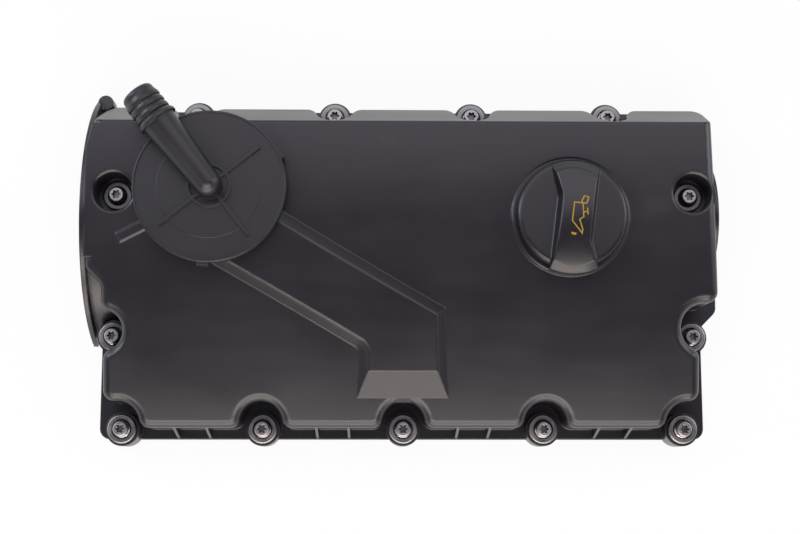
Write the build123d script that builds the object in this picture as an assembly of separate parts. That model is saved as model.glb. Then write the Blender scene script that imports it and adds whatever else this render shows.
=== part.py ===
from build123d import *
import math
import os

# Moulded valve cover of a four-cylinder overhead-cam engine, all sizes in mm.
# Origin: on the gasket plane, midway along the two bolt rows and 103 mm behind
# the front row. +X runs along the engine away from the breather end, +Y points
# to the rear edge with the sloped band, +Z points up out of the cover.

# ---------------------------------------------------------------- bolt pattern
BOLT_PITCH = 88.0
FRONT_COUNT = 5
REAR_COUNT = FRONT_COUNT - 1
FRONT_ROW_Y = -103.0
ROW_SPACING = 200.0
REAR_ROW_Y = FRONT_ROW_Y + ROW_SPACING
ROW_END_X = BOLT_PITCH * (FRONT_COUNT - 1) / 2
END_BOLT_OUT = 7.0
END_BOLT_X = ROW_END_X + END_BOLT_OUT
END_BOLT_Y = -44.9
WELL_OUT = 3.0
WELL_X = ROW_END_X + WELL_OUT
WELL_Y = 41.5

# ---------------------------------------------------------------- body
WALL = 3.0
FRONT_WALL_IN = 0.5
FRONT_WALL_Y = FRONT_ROW_Y + FRONT_WALL_IN
REAR_WALL_OUT = 4.0
REAR_WALL_Y = REAR_ROW_Y + REAR_WALL_OUT
PLAN_CORNER_R = 7.0
EDGE_R = 5.5
CREST_R = 2.0

# the crowned top follows an arc through three (y, z) points, then a sloped band
CROWN_FRONT_IN = 4.5
CROWN_FRONT = (FRONT_WALL_Y + CROWN_FRONT_IN, 41.0)
CROWN_MID = (0.0, 55.5)
BAND_RUN = 15.0
CROWN_REAR = (REAR_WALL_Y - BAND_RUN, 60.0)
BAND_FOOT = (REAR_WALL_Y, 30.0)

# scallops that let the bolts stand outside the body
FRONT_SCALLOP_R = 12.9
FRONT_SCALLOP_IN = 3.9
REAR_SCALLOP_R = 11.6
REAR_SCALLOP_OUT = 1.5
LEFT_SCALLOP_R = 12.6
LEFT_SCALLOP_OUT = 2.8
LEFT_SCALLOP_UP = 1.9
RIGHT_SCALLOP_R = 14.9
RIGHT_SCALLOP_OUT = 3.6
RIGHT_SCALLOP_UP = 4.2

# ---------------------------------------------------------------- end arches
CAM_AXIS_Y = 33.0
CAM_AXIS_Z = -12.0
ARCH_PLATE_T = 3.0
SADDLE_T = 8.0
SADDLE_DEPTH = 13.0
LEFT_ARCH_OUT = 23.5
LEFT_ARCH_R = 87.7
LEFT_ARCH_CROWN = 58.0
LEFT_ARCH_LIP = 5.5
LEFT_OPENING_R = 30.0
RIGHT_ARCH_OUT = 21.5
RIGHT_ARCH_R = 36.5
RIGHT_ARCH_CROWN = 47.5
RIGHT_ARCH_LIP = 3.5
RIGHT_OPENING_R = 24.0
LEFT_FACE_X = ROW_END_X + LEFT_ARCH_OUT
RIGHT_FACE_X = ROW_END_X + RIGHT_ARCH_OUT
EAR_R = 5.0
EAR_TOP = 12.0
EAR_BACK = 76.5

# ---------------------------------------------------------------- side walls
# measured outwards from the end of the front bolt row
LEFT_FRONT_X = ROW_END_X + 9.0
LEFT_WAIST_X = ROW_END_X + 10.4
LEFT_SHOULDER_X = LEFT_FACE_X - ARCH_PLATE_T
LEFT_REAR_X = ROW_END_X + 12.6
LEFT_SHOULDER_Y = -5.0
LEFT_SHOULDER_RUN = 10.5
LEFT_FLARE_Y = REAR_WALL_Y - 32.0
LEFT_FLANK_FRONT = 1.0
LEFT_FLANK_W = 9.0
RIGHT_FRONT_X = ROW_END_X + 7.0
RIGHT_SHOULDER_X = ROW_END_X + 19.3
RIGHT_REAR_X = ROW_END_X + 15.6

# ---------------------------------------------------------------- flange
FLANGE_T = 8.0
FLANGE_FRONT_Y = FRONT_ROW_Y - 6.2
FLANGE_REAR_Y = REAR_ROW_Y + 7.5
FLANGE_HALF_FRONT = ROW_END_X + 16.5
FLANGE_HALF_SHOULDER = ROW_END_X + 27.0
FLANGE_HALF_REAR = ROW_END_X + 22.5
FLANGE_STEP_Y = END_BOLT_Y + 17.9
FLANGE_STEP_RUN = 10.5
FLANGE_CORNER_R = 7.0
RAIL_IN = 6.5
GROOVE_W = 3.4
GROOVE_DEPTH = 5.0
GROOVE_CLEAR = 0.1
SADDLE_SEAL_EXTRA = 1.0
GUSSET_T = 1.6
GUSSET_RISE = 25.0
GUSSET_OFFSET = 10.0
GUSSET_INSET = 0.4

# ---------------------------------------------------------------- bolt stack
BOSS_R = 10.6
BOSS_TOP = 20.0
BOSS_BORE_R = 7.2
CUP_R = 9.0
CUP_HEIGHT = 3.4
CUP_RECESS_R = 6.1
CUP_FLOOR = 1.4
CUP_EDGE_R = 0.8
SLEEVE_R = 4.8
SLEEVE_BORE_R = 3.3
GROMMET_LIP_T = 0.6
GROMMET_LIP_R = 8.4
GROMMET_CLEAR = 0.05
GROMMET_FOOT = 1.0
BOLT_SHANK_R = 3.0
BOLT_LENGTH = 22.0
BOLT_TIP_CHAMFER = 0.5
BOLT_HEAD_CHAMFER = 0.6
BOLT_FLANGE_R = 5.6
BOLT_FLANGE_T = 1.6
BOLT_HEAD_R = 4.65
BOLT_HEAD_T = 5.8
SOCKET_R = 2.9
SOCKET_DEPTH = 3.0
SOCKET_CORE = 0.74
SOCKET_LOBE = 0.24
WELL_SEAT = 39.0
WELL_R = 11.9
WELL_FLARE = 2.6
WELL_FLARE_IN = 0.4
WELL_TUBE_R = WELL_R + 2.7
COLUMN_BOTTOM = WELL_SEAT - BOSS_TOP
SIDE_RIDGE = (27.0, 9.5)
SIDE_RIDGE_AT = (-ROW_END_X + 11.0, WELL_Y - 23.5)
SIDE_RIDGE_RISE = 0.8
SIDE_RIDGE_SLOPE = 55.0
SIDE_RIDGE_ANGLE = 27.0


def crown_circle():
    """Centre (y, z) and radius of the arc that the top surface follows."""
    (y1, z1), (y2, z2), (y3, z3) = CROWN_FRONT, CROWN_MID, CROWN_REAR
    d = 2 * (y1 * (z2 - z3) + y2 * (z3 - z1) + y3 * (z1 - z2))
    s1, s2, s3 = y1 * y1 + z1 * z1, y2 * y2 + z2 * z2, y3 * y3 + z3 * z3
    yc = (s1 * (z2 - z3) + s2 * (z3 - z1) + s3 * (z1 - z2)) / d
    zc = (s1 * (y3 - y2) + s2 * (y1 - y3) + s3 * (y2 - y1)) / d
    return yc, zc, math.hypot(y1 - yc, z1 - zc)


def crown_z(y):
    """Height of the top surface at y."""
    yc, zc, r = crown_circle()
    return zc + math.sqrt(r * r - (y - yc) ** 2)


# ---------------------------------------------------------------- breather
LID_X = -118.5
LID_Y = 42.3
LID_R = 46.8
LID_RISE = 13.3
LID_TOP = crown_z(LID_Y) + LID_RISE
LID_T = 2.5
LID_SKIRT_H = 5.5
LID_SKIRT_T = 2.2
LID_LIP_W = 1.4
LID_LIP_H = 0.6
LID_STEP_R = 32.0
LID_STEP_H = 0.25
LID_FIT = 0.3
HUB_RING_R = 13.6
HUB_RING_W = 1.8
HUB_RING_H = 1.6
LID_RIB_W = 2.0
LID_RIB_H = 1.8
LID_RIB_REACH = 38.6
CLIP_ANGLES = (26.0, 146.0, 266.0)
CLIP_W = 7.0
CLIP_T = 1.8
CLIP_H = 9.0
CLIP_DROP = 0.5
DRUM_WALL = 4.5
DRUM_DEPTH = 24.0
DRUM_FLOOR_T = 2.5
DRUM_R = LID_R - LID_SKIRT_T - LID_FIT
DRUM_TOP = LID_TOP - LID_T
DRUM_FLOOR = LID_TOP - DRUM_DEPTH
POCKET_R = DRUM_R - DRUM_WALL
LEDGE_W = 2.3
LEDGE_Z = DRUM_FLOOR + 6.0
BEAD_W = 3.0
BEAD_T = 2.4
BEAD_FIT = 0.1
CLAMP_Z = LEDGE_Z + BEAD_T
CLAMP_W = 2.6
WINDOW_WIDTH = 24.0
WINDOW_SHIFT = 10.0
WINDOW_LOW = LEDGE_Z + 2.5
WINDOW_TALL = 4.0
WINDOW_DEPTH = 5.0
WINDOW_REACH = 13.5
PLATE_R = 22.0
PLATE_T = 1.6
PLATE_EDGE_R = 0.5
PLATE_TRAVEL = 3.0
PLATE_TOP = LEDGE_Z + 4.0
PORT_R = 9.0
PORT_BOTTOM = PLATE_TOP + PLATE_TRAVEL + 0.5
DIAPHRAGM_T = 1.0
FOLD_R = 3.0
FOLD_CENTRE_R = 30.0
SPRING_R = 12.5
SPRING_WIRE = 1.2
SPRING_TURNS = 3.5

# hose nozzle, measured along its axis from the elbow
NOZZLE_ANGLE = 128.6
NOZZLE_RISE = 3.6
NOZZLE_BORE_R = 6.4
ELBOW_R = 8.3
ELBOW_LIFT = 0.3
NOZZLE_AXIS_Z = LID_TOP + ELBOW_R + ELBOW_LIFT
TUBE_LENGTH = 47.3
TUBE_END_R = 10.7
COLLAR_R = 12.5
COLLAR_T = 1.6
COLLAR_RUN = 3.1
BARB_START = TUBE_LENGTH + COLLAR_T + COLLAR_RUN
BARB_R = 11.25
BARB_ROOT_R = 10.4
BARB_LAND = 1.8
BARB_PITCH = 4.5
BARB_COUNT = 3
NOSE_R = 10.1
NOSE_RUN = 4.5
NOSE_ROUND = 3.0
NOZZLE_LENGTH = BARB_START + BARB_PITCH * BARB_COUNT + NOSE_RUN

# ---------------------------------------------------------------- breather duct
DUCT_RISE = 6.5
DUCT_ANGLE = 30.0
DUCT_WIDTH = 51.5
DUCT_SHIFT = 45.6
DUCT_PAD_LEFT = -28.6
DUCT_PAD_RIGHT = 27.5
DUCT_PAD_FRONT = FRONT_WALL_Y + 18.2
DUCT_RAMP_RUN = 15.4
DUCT_KNEE_Y = LID_Y - DUCT_SHIFT - (DUCT_PAD_LEFT - LID_X) * math.tan(math.radians(DUCT_ANGLE))
DUCT_END_LOW = 8.0
DUCT_END_HIGH = 25.0
DUCT_SLOPE = 42.0
DUCT_EDGE_R = 2.5
DUCT_FOOT_DIP = 4.0
BAFFLE_DROP = 17.5
BAFFLE_T = 2.0
BAFFLE_CLEAR = 0.3
DRAIN_SLOT = (32.0, 2.6)
DRAIN_PITCH = 5.0
DRAIN_COUNT = 4
CHANNEL_RIB_T = 2.5

# ---------------------------------------------------------------- filler
CAP_X = 102.8
CAP_Y = 26.6
LAND_R = 36.8
LAND_RISE = 1.3
NECK_TOP = crown_z(CAP_Y) + LAND_RISE
NECK_R = 32.0
NECK_DEPTH = 17.0
NECK_BORE_R = 26.6
NECK_UNDERCUT_R = 29.3
NECK_LIP_BOTTOM = NECK_TOP - 9.0
NECK_BOTTOM = NECK_TOP - NECK_DEPTH
SLOT_CLEAR = 0.5
SLOT_HALF_EXTRA = 3.0
SEAL_INNER_R = NECK_BORE_R + 0.3
SEAL_OUTER_R = 30.6
SEAL_T = 2.2
CAP_R = 34.0
CAP_BOTTOM = NECK_TOP + SEAL_T
CAP_DEPTH = 7.0
CAP_TOP = CAP_BOTTOM + CAP_DEPTH
CAP_EDGE_R = 3.2
PLUG_CLEAR = 0.6
PLUG_R = NECK_BORE_R - PLUG_CLEAR
PLUG_WALL = 2.6
PLUG_BOTTOM = NECK_BOTTOM + 1.0
LUG_R = NECK_UNDERCUT_R - 0.7
LUG_T = 3.0
LUG_HALF_ANGLE = 14.0
LUG_GAP = 0.4

# grip bar: a waisted bar with two opposite knees, drafted sides and an arched top
BAR_RISE = 8.8
BAR_END_DROP = 6.0
BAR_NOSE = CAP_R + 3.0
BAR_REAR_INSET = 0.6
BAR_CENTRE = (1.2, -3.3)
BAR_KNEE = (7.7, 14.0)
BAR_LONG_FLARE = 0.13
BAR_SHORT_FLARE = 0.21
BAR_KNEE_R = 6.0
BAR_DRAFT = 15.0
BAR_END_LEAN = 50.0
BAR_EDGE_R = 1.2

ARCHES = (
    (-1, LEFT_FACE_X, LEFT_ARCH_R, LEFT_ARCH_CROWN, LEFT_ARCH_LIP, LEFT_OPENING_R),
    (1, RIGHT_FACE_X, RIGHT_ARCH_R, RIGHT_ARCH_CROWN, RIGHT_ARCH_LIP, RIGHT_OPENING_R),
)
SPAN_X = 2 * LEFT_FACE_X + 60
SPAN_Y = 2 * ROW_SPACING
SPAN_Z = 2 * LID_TOP


# ================================================================ shared forms
def bolt_places():
    """Centres of the flange bolts, as lists by row."""
    rear_end = BOLT_PITCH * (REAR_COUNT - 1) / 2
    return {
        "front": [(BOLT_PITCH * i - ROW_END_X, FRONT_ROW_Y) for i in range(FRONT_COUNT)],
        "rear": [(BOLT_PITCH * i - rear_end, REAR_ROW_Y) for i in range(REAR_COUNT)],
        "left_end": [(-END_BOLT_X, END_BOLT_Y)],
        "right_end": [(END_BOLT_X, END_BOLT_Y)],
    }


def under_crown(rise):
    """Everything under the crowned top surface, raised by rise."""
    yc, zc, r = crown_circle()
    return Pos(0, yc, zc) * Rot(0, 90, 0) * Cylinder(r + rise, SPAN_X)


def beyond_band(rise):
    """A block that lies outside the sloped rear band, moved out by rise."""
    dy = BAND_FOOT[0] - CROWN_REAR[0]
    dz = BAND_FOOT[1] - CROWN_REAR[1]
    angle = math.degrees(math.atan2(dz, dy))
    mid_y = (BAND_FOOT[0] + CROWN_REAR[0]) / 2
    mid_z = (BAND_FOOT[1] + CROWN_REAR[1]) / 2
    block = Box(SPAN_X, 2 * CROWN_REAR[1], CROWN_REAR[1], align=(Align.CENTER, Align.CENTER, Align.MIN))
    return Pos(0, mid_y, mid_z) * Rot(angle, 0, 0) * Pos(0, 0, rise) * block


def scallop_circles():
    """(x, y, radius) of the circles that cut the bolts free of the body."""
    places = bolt_places()
    circles = [(x, y + FRONT_SCALLOP_IN, FRONT_SCALLOP_R) for x, y in places["front"]]
    circles += [(x, y + REAR_SCALLOP_OUT, REAR_SCALLOP_R) for x, y in places["rear"]]
    circles.append((-END_BOLT_X - LEFT_SCALLOP_OUT, END_BOLT_Y + LEFT_SCALLOP_UP, LEFT_SCALLOP_R))
    circles.append((END_BOLT_X + RIGHT_SCALLOP_OUT, END_BOLT_Y + RIGHT_SCALLOP_UP, RIGHT_SCALLOP_R))
    return circles


def body_plan(inset):
    """Plan outline of the body walls, moved in by inset."""
    corners = [
        (RIGHT_REAR_X, REAR_WALL_Y),
        (-LEFT_REAR_X, REAR_WALL_Y),
        (-LEFT_SHOULDER_X, LEFT_FLARE_Y),
        (-LEFT_SHOULDER_X, LEFT_SHOULDER_Y),
        (-LEFT_WAIST_X, LEFT_SHOULDER_Y - LEFT_SHOULDER_RUN),
        (-LEFT_WAIST_X, END_BOLT_Y),
        (-LEFT_FRONT_X, END_BOLT_Y),
        (-LEFT_FRONT_X, FRONT_WALL_Y),
        (RIGHT_FRONT_X, FRONT_WALL_Y),
        (RIGHT_FRONT_X, END_BOLT_Y),
        (RIGHT_SHOULDER_X, END_BOLT_Y),
    ]
    plan = Polygon(*corners, align=None)
    if inset:
        plan = offset(plan, -inset, kind=Kind.INTERSECTION)
    for x, y, radius in scallop_circles():
        plan -= Pos(x, y) * Circle(radius + inset)
    return fillet(plan.vertices(), PLAN_CORNER_R - inset / 2)


def body_solid(inset):
    """The body as a closed block, moved in by inset on every side."""
    block = extrude(body_plan(inset), CROWN_REAR[1] + DUCT_RISE)
    block &= under_crown(-inset)
    block -= beyond_band(-inset)
    return block


def crest_edges(edges):
    """The long edges between the crowned top and the sloped rear band."""
    return [edge for edge in edges
            if edge.length > BOLT_PITCH and abs(edge.center().Y - CROWN_REAR[0]) < CREST_R
            and edge.center().Z > CROWN_REAR[1] - CREST_R]


def rounded_body():
    """The outer body block with its soft edge all round the crowned top."""
    block = body_solid(0)
    crown = max(block.faces().filter_by(GeomType.CYLINDER), key=lambda face: face.area)
    crest = crest_edges(crown.edges())
    block = fillet([edge for edge in crown.edges() if edge not in crest], EDGE_R)
    return fillet(crest_edges(block.edges()), CREST_R)


def left_flank():
    """The left edge of the top, which runs out square to the end plate."""
    low, high = LEFT_FLANK_FRONT, CROWN_REAR[0] - CREST_R
    strip = Box(LEFT_FLANK_W, high - low, SPAN_Z, align=(Align.MIN, Align.MIN, Align.CENTER))
    return body_solid(0) & (Pos(-LEFT_SHOULDER_X, low, 0) * strip)


def flange_plan():
    """Outline of the mounting flange."""
    right = [
        (FLANGE_HALF_REAR, FLANGE_REAR_Y),
        (FLANGE_HALF_SHOULDER, FLANGE_STEP_Y + 2 * FLANGE_STEP_RUN),
        (FLANGE_HALF_SHOULDER, FLANGE_STEP_Y),
        (FLANGE_HALF_FRONT, FLANGE_STEP_Y - FLANGE_STEP_RUN),
        (FLANGE_HALF_FRONT, FLANGE_FRONT_Y),
    ]
    left_face = LEFT_FACE_X - ARCH_PLATE_T / 2
    left = [
        (-FLANGE_HALF_FRONT, FLANGE_FRONT_Y),
        (-FLANGE_HALF_FRONT, FLANGE_STEP_Y - FLANGE_STEP_RUN),
        (-left_face, FLANGE_STEP_Y),
        (-left_face, FLANGE_REAR_Y),
    ]
    plan = Polygon(*right, *left, align=None)
    return fillet(plan.vertices(), FLANGE_CORNER_R)


def arch_solid(side, face_x, radius, crown, thickness):
    """A half-round end form whose outer face lies at face_x: side is -1 or +1,
    and the legs of a small radius run straight down to the gasket plane."""
    centre_z = crown - radius
    profile = Pos(CAM_AXIS_Y, centre_z) * Circle(radius)
    if centre_z > 0:
        profile += Pos(CAM_AXIS_Y, 0) * Rectangle(2 * radius, centre_z, align=(Align.CENTER, Align.MIN))
    profile &= Pos(CAM_AXIS_Y, 0) * Rectangle(SPAN_Y, SPAN_Z, align=(Align.CENTER, Align.MIN))
    x0 = face_x - thickness if side > 0 else -face_x
    return extrude(Plane.YZ.offset(x0) * profile, thickness)


def bulge_depth(face_x):
    """How far an end arch reaches inwards, through the end wall."""
    return face_x - LEFT_REAR_X + 2 * WALL


def ear():
    """Round pad where the rear foot of the left arch meets the flange."""
    y = CAM_AXIS_Y + EAR_BACK
    x = -(LEFT_FACE_X - EAR_R)
    web = Box(2 * EAR_R, y - REAR_ROW_Y, FLANGE_T, align=(Align.CENTER, Align.MAX, Align.MIN))
    return post(x, y, EAR_R, 0, EAR_TOP) + Pos(x, y, 0) * web


def side_ridge():
    """Low ridge on the top between the left well and the end plate."""
    x, y = SIDE_RIDGE_AT
    slope = math.degrees(math.atan2(crown_z(y + 1) - crown_z(y - 1), 2))
    bar = extrude(Rectangle(*SIDE_RIDGE), 2 * SIDE_RIDGE_RISE, taper=SIDE_RIDGE_SLOPE)
    bar = Rot(slope, 0, 0) * Pos(0, 0, -SIDE_RIDGE_RISE) * Rot(0, 0, SIDE_RIDGE_ANGLE) * bar
    return Pos(x, y, crown_z(y)) * bar


def crown_tilt():
    """Slope in degrees of the chord of the crown that runs under the duct."""
    return math.degrees(math.atan2(crown_z(LID_Y) - crown_z(DUCT_PAD_FRONT), LID_Y - DUCT_PAD_FRONT))


def duct_plan(grow):
    """Footprint of the duct from inside the breather drum to the front pad."""
    fall = math.tan(math.radians(DUCT_ANGLE))
    width_in_y = DUCT_WIDTH / math.cos(math.radians(DUCT_ANGLE))
    x_low = LID_X - DUCT_END_LOW
    x_high = LID_X + DUCT_END_HIGH
    outline = [
        (DUCT_PAD_LEFT, DUCT_KNEE_Y),
        (DUCT_PAD_LEFT, DUCT_PAD_FRONT),
        (DUCT_PAD_RIGHT, DUCT_PAD_FRONT),
        (DUCT_PAD_RIGHT, DUCT_KNEE_Y + width_in_y - (DUCT_PAD_RIGHT - DUCT_PAD_LEFT) * fall),
        (x_high, DUCT_KNEE_Y + width_in_y - (x_high - DUCT_PAD_LEFT) * fall),
        (x_low, DUCT_KNEE_Y - (x_low - DUCT_PAD_LEFT) * fall),
    ]
    plan = Polygon(*outline, align=None)
    if grow:
        plan = offset(plan, grow, kind=Kind.INTERSECTION)
    return plan


def tilt_to_duct(shape, z_offset):
    """Lay a shape drawn on the XY plane along the surface under the duct."""
    hinge_y, hinge_z = DUCT_PAD_FRONT, crown_z(DUCT_PAD_FRONT)
    return Pos(0, hinge_y, hinge_z) * Rot(crown_tilt(), 0, 0) * Pos(0, -hinge_y, z_offset) * shape


def ramp_cut(inset):
    """The block that cuts the front of the duct down to a ramp."""
    y_top = DUCT_PAD_FRONT + DUCT_RAMP_RUN
    z_top = crown_z(y_top) + DUCT_RISE - inset
    z_foot = crown_z(DUCT_PAD_FRONT) - inset
    ramp_angle = math.degrees(math.atan2(z_top - z_foot, DUCT_RAMP_RUN))
    block = Box(SPAN_X, DUCT_WIDTH, CROWN_MID[1], align=(Align.CENTER, Align.CENTER, Align.MIN))
    return Pos(0, DUCT_PAD_FRONT, z_foot) * Rot(ramp_angle, 0, 0) * block


def duct_solid(inset):
    """The raised duct with sloped sides, moved in by inset."""
    spread = DUCT_FOOT_DIP * math.tan(math.radians(DUCT_SLOPE))
    prism = extrude(duct_plan(spread - inset), 2 * DUCT_RISE + DUCT_FOOT_DIP, taper=DUCT_SLOPE)
    prism = tilt_to_duct(prism, -DUCT_FOOT_DIP)
    prism &= under_crown(DUCT_RISE - inset)
    return prism - ramp_cut(inset)


def rounded_duct():
    """The duct as it shows from outside, with its soft top edge."""
    block = duct_solid(0)
    top = max(block.faces().filter_by(GeomType.CYLINDER), key=lambda face: face.area)
    return fillet(top.edges(), DUCT_EDGE_R)


def post(x, y, radius, z_low, z_high):
    """A round post between two heights."""
    align = (Align.CENTER, Align.CENTER, Align.MIN)
    return Pos(x, y, z_low) * Cylinder(radius, z_high - z_low, align=align)


def gussets():
    """Small ribs that brace the front flange against the front wall."""
    wall_mid = FRONT_WALL_Y + WALL / 2
    foot = FLANGE_FRONT_Y + GUSSET_INSET
    side = [
        (wall_mid, FLANGE_T / 2),
        (foot, FLANGE_T / 2),
        (foot, FLANGE_T),
        (FRONT_WALL_Y, FLANGE_T + GUSSET_RISE),
        (wall_mid, FLANGE_T + GUSSET_RISE),
    ]
    ribs = []
    row = bolt_places()["front"]
    for (x1, _), (x2, _) in zip(row, row[1:]):
        middle = (x1 + x2) / 2
        for x in (middle - GUSSET_OFFSET, middle + GUSSET_OFFSET):
            face = Plane.YZ.offset(x - GUSSET_T / 2) * Polygon(*side, align=None)
            ribs.append(extrude(face, GUSSET_T, dir=(1, 0, 0)))
    return ribs


def lug_sector(radius, half_angle, height):
    """A sector of a disc that starts inside the plug wall."""
    a = math.radians(half_angle)
    far = radius * 1.5
    wedge = Polygon((0, 0), (far * math.cos(a), -far * math.sin(a)), (far * math.cos(a), far * math.sin(a)),
                    align=None)
    ring = Circle(radius) - Circle(PLUG_R - PLUG_WALL / 2)
    return extrude(ring & wedge, height)


def bayonet_slots():
    """The two notches in the neck lip that let the cap lugs pass."""
    height = NECK_TOP - NECK_LIP_BOTTOM + 2
    slots = []
    for turn in (90, 270):
        slot = Rot(0, 0, turn) * lug_sector(LUG_R + SLOT_CLEAR, LUG_HALF_ANGLE + SLOT_HALF_EXTRA, height)
        slots.append(Pos(CAP_X, CAP_Y, NECK_LIP_BOTTOM - 1) * slot)
    return slots


def side_bar(side, radius, x_in, x_out):
    """A round bar on the camshaft axis from x_in to x_out on one side."""
    middle = side * (x_in + x_out) / 2
    return Pos(middle, CAM_AXIS_Y, CAM_AXIS_Z) * Rot(0, 90, 0) * Cylinder(radius, x_out - x_in)


def above_gasket():
    """The half space over the gasket plane."""
    return Box(SPAN_X, SPAN_Y, SPAN_Z, align=(Align.CENTER, Align.CENTER, Align.MIN))


def outer_forms():
    """Everything that shows from outside, still solid."""
    forms = rounded_body()
    forms += left_flank()
    forms += side_ridge()
    forms += rounded_duct()
    forms += post(LID_X, LID_Y, DRUM_R, CROWN_FRONT[1], DRUM_TOP)
    land = post(CAP_X, CAP_Y, LAND_R, CROWN_FRONT[1], NECK_TOP)
    forms += chamfer(land.edges().group_by(Axis.Z)[-1], LAND_RISE * 0.6)
    forms -= post(CAP_X, CAP_Y, LAND_R, NECK_TOP, LID_TOP)
    for side, face_x, radius, crown, lip, _ in ARCHES:
        forms += arch_solid(side, face_x, radius, crown, ARCH_PLATE_T)
        forms += arch_solid(side, face_x, radius - lip, crown - lip, bulge_depth(face_x))
    return forms


def cavities():
    """The hollow inside of the body, the duct and the two arches."""
    hollow = body_solid(WALL)
    hollow += duct_solid(WALL)
    for side, face_x, radius, crown, lip, _ in ARCHES:
        hollow += arch_solid(side, face_x - ARCH_PLATE_T, radius - lip - WALL, crown - lip - WALL,
                             bulge_depth(face_x))
    return hollow


def base_rail():
    """The flange plate, open inside the sealing rail."""
    rail = extrude(flange_plan(), FLANGE_T, dir=(0, 0, 1))
    return rail - extrude(body_plan(RAIL_IN), FLANGE_T)


def bosses():
    """The bolt bosses on the flange and the columns under the two wells."""
    columns = []
    for row in bolt_places().values():
        columns += [post(x, y, BOSS_R, 0, BOSS_TOP) for x, y in row]
    for side in (-1, 1):
        tube = post(side * WELL_X, WELL_Y, WELL_TUBE_R, WELL_SEAT - WALL, CROWN_REAR[1])
        columns.append(tube & under_crown(-WALL / 2))
        columns.append(post(side * WELL_X, WELL_Y, BOSS_R, COLUMN_BOTTOM, WELL_SEAT))
    return columns


def well_cut(side):
    """An open well round a raised bolt, with a soft mouth in the crown."""
    mouth = crown_z(WELL_Y)
    slope = math.degrees(math.atan2(crown_z(WELL_Y + WELL_R) - crown_z(WELL_Y - WELL_R), 2 * WELL_R))
    start = WELL_R - WELL_FLARE_IN
    wide = start + WELL_FLARE
    outline = Polygon((0, -WELL_FLARE), (start, -WELL_FLARE), (wide, 0), (wide, 2 * WELL_FLARE),
                      (0, 2 * WELL_FLARE), align=None)
    outline -= Pos(wide, -WELL_FLARE) * Circle(WELL_FLARE)
    flare = Rot(slope, 0, 0) * revolve(Plane.XZ * outline, Axis.Z)
    return post(side * WELL_X, WELL_Y, WELL_R, WELL_SEAT, mouth) + Pos(side * WELL_X, WELL_Y, mouth) * flare


def bores():
    """Bolt bores and the two open wells."""
    holes = []
    for row in bolt_places().values():
        holes += [post(x, y, BOSS_BORE_R, -1, BOSS_TOP + 1) for x, y in row]
    for side in (-1, 1):
        holes.append(well_cut(side))
        holes.append(post(side * WELL_X, WELL_Y, BOSS_BORE_R, COLUMN_BOTTOM - 1, WELL_SEAT + 1))
    return holes


def saddles():
    """Half-round saddles that carry the gasket over the camshaft."""
    forms = []
    for side, face_x, _, _, _, opening in ARCHES:
        forms.append(side_bar(side, opening + SADDLE_T, face_x - SADDLE_DEPTH, face_x) & above_gasket())
    return forms


def saddle_openings():
    """The camshaft passages through the end walls and the flange beyond them."""
    inner = ROW_END_X - BOSS_R
    outer = FLANGE_HALF_SHOULDER + 1
    return [side_bar(side, opening, inner, outer) for side, _, _, _, _, opening in ARCHES]


def channel_ribs():
    """Walls that hang from the roof and carry the oil baffle."""
    ring = extrude(duct_plan(0), BAFFLE_DROP) - extrude(duct_plan(-CHANNEL_RIB_T), BAFFLE_DROP)
    ring = tilt_to_duct(ring, -BAFFLE_DROP)
    ring &= under_crown(-WALL / 2)
    return ring - post(LID_X, LID_Y, DRUM_R - 1, 0, LID_TOP)


def window_bar(reach_in, reach_out, z_low, z_high):
    """A block through the drum wall towards the duct."""
    align = (Align.MIN, Align.CENTER, Align.MIN)
    bar = Box(reach_in + reach_out, WINDOW_WIDTH, z_high - z_low, align=align)
    bar = Pos(POCKET_R - reach_in, -WINDOW_SHIFT, 0) * bar
    return Pos(LID_X, LID_Y, z_low) * Rot(0, 0, -DUCT_ANGLE) * bar


def cover_shell():
    """The moulded cover: body, flange, bosses, duct, drum, neck and arches."""
    shell = outer_forms() - cavities()
    drum = post(LID_X, LID_Y, DRUM_R, DRUM_FLOOR - DRUM_FLOOR_T, DRUM_TOP)
    neck = post(CAP_X, CAP_Y, NECK_R, NECK_BOTTOM, NECK_TOP)
    for form in [base_rail(), ear(), drum, neck, channel_ribs(), *bosses(), *saddles(), *gussets()]:
        shell += form
    pocket = post(LID_X, LID_Y, POCKET_R, DRUM_FLOOR, LID_TOP)
    ledge = post(LID_X, LID_Y, POCKET_R + LEDGE_W, LEDGE_Z, LID_TOP)
    window = window_bar(WINDOW_DEPTH, WINDOW_REACH, WINDOW_LOW, WINDOW_LOW + WINDOW_TALL)
    neck_bore = post(CAP_X, CAP_Y, NECK_BORE_R, NECK_BOTTOM - 1, NECK_TOP + 1)
    undercut = post(CAP_X, CAP_Y, NECK_UNDERCUT_R, NECK_BOTTOM - 1, NECK_LIP_BOTTOM)
    for cut in [pocket, ledge, window, neck_bore, undercut, *bayonet_slots(), *bores(),
                *saddle_openings(), gasket_ring(0)]:
        shell -= cut
    return shell


# ================================================================ gasket
def gasket_ring(clear):
    """The closed sealing loop under the rail with its two raised saddles."""
    loop = extrude(body_plan(clear), GROOVE_DEPTH) - extrude(body_plan(GROOVE_W - clear), GROOVE_DEPTH)
    right_fall = (REAR_WALL_Y - CAM_AXIS_Y) / (REAR_WALL_Y - END_BOLT_Y)
    right_wall = RIGHT_REAR_X + (RIGHT_SHOULDER_X - RIGHT_REAR_X) * right_fall
    half = GROOVE_W / 2 + SADDLE_SEAL_EXTRA - clear
    for side, face_x, _, _, _, opening in ARCHES:
        middle_x = (LEFT_SHOULDER_X if side < 0 else right_wall) - GROOVE_W / 2
        arch = side_bar(side, opening + GROOVE_DEPTH, middle_x - half, middle_x + half)
        inner = side_bar(side, opening, ROW_END_X - BOSS_R, face_x)
        loop = (loop + (arch & above_gasket())) - inner
    return loop


def cover_gasket():
    """Rubber profile gasket, seated on the roof of its groove."""
    return gasket_ring(GROOVE_CLEAR)


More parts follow.
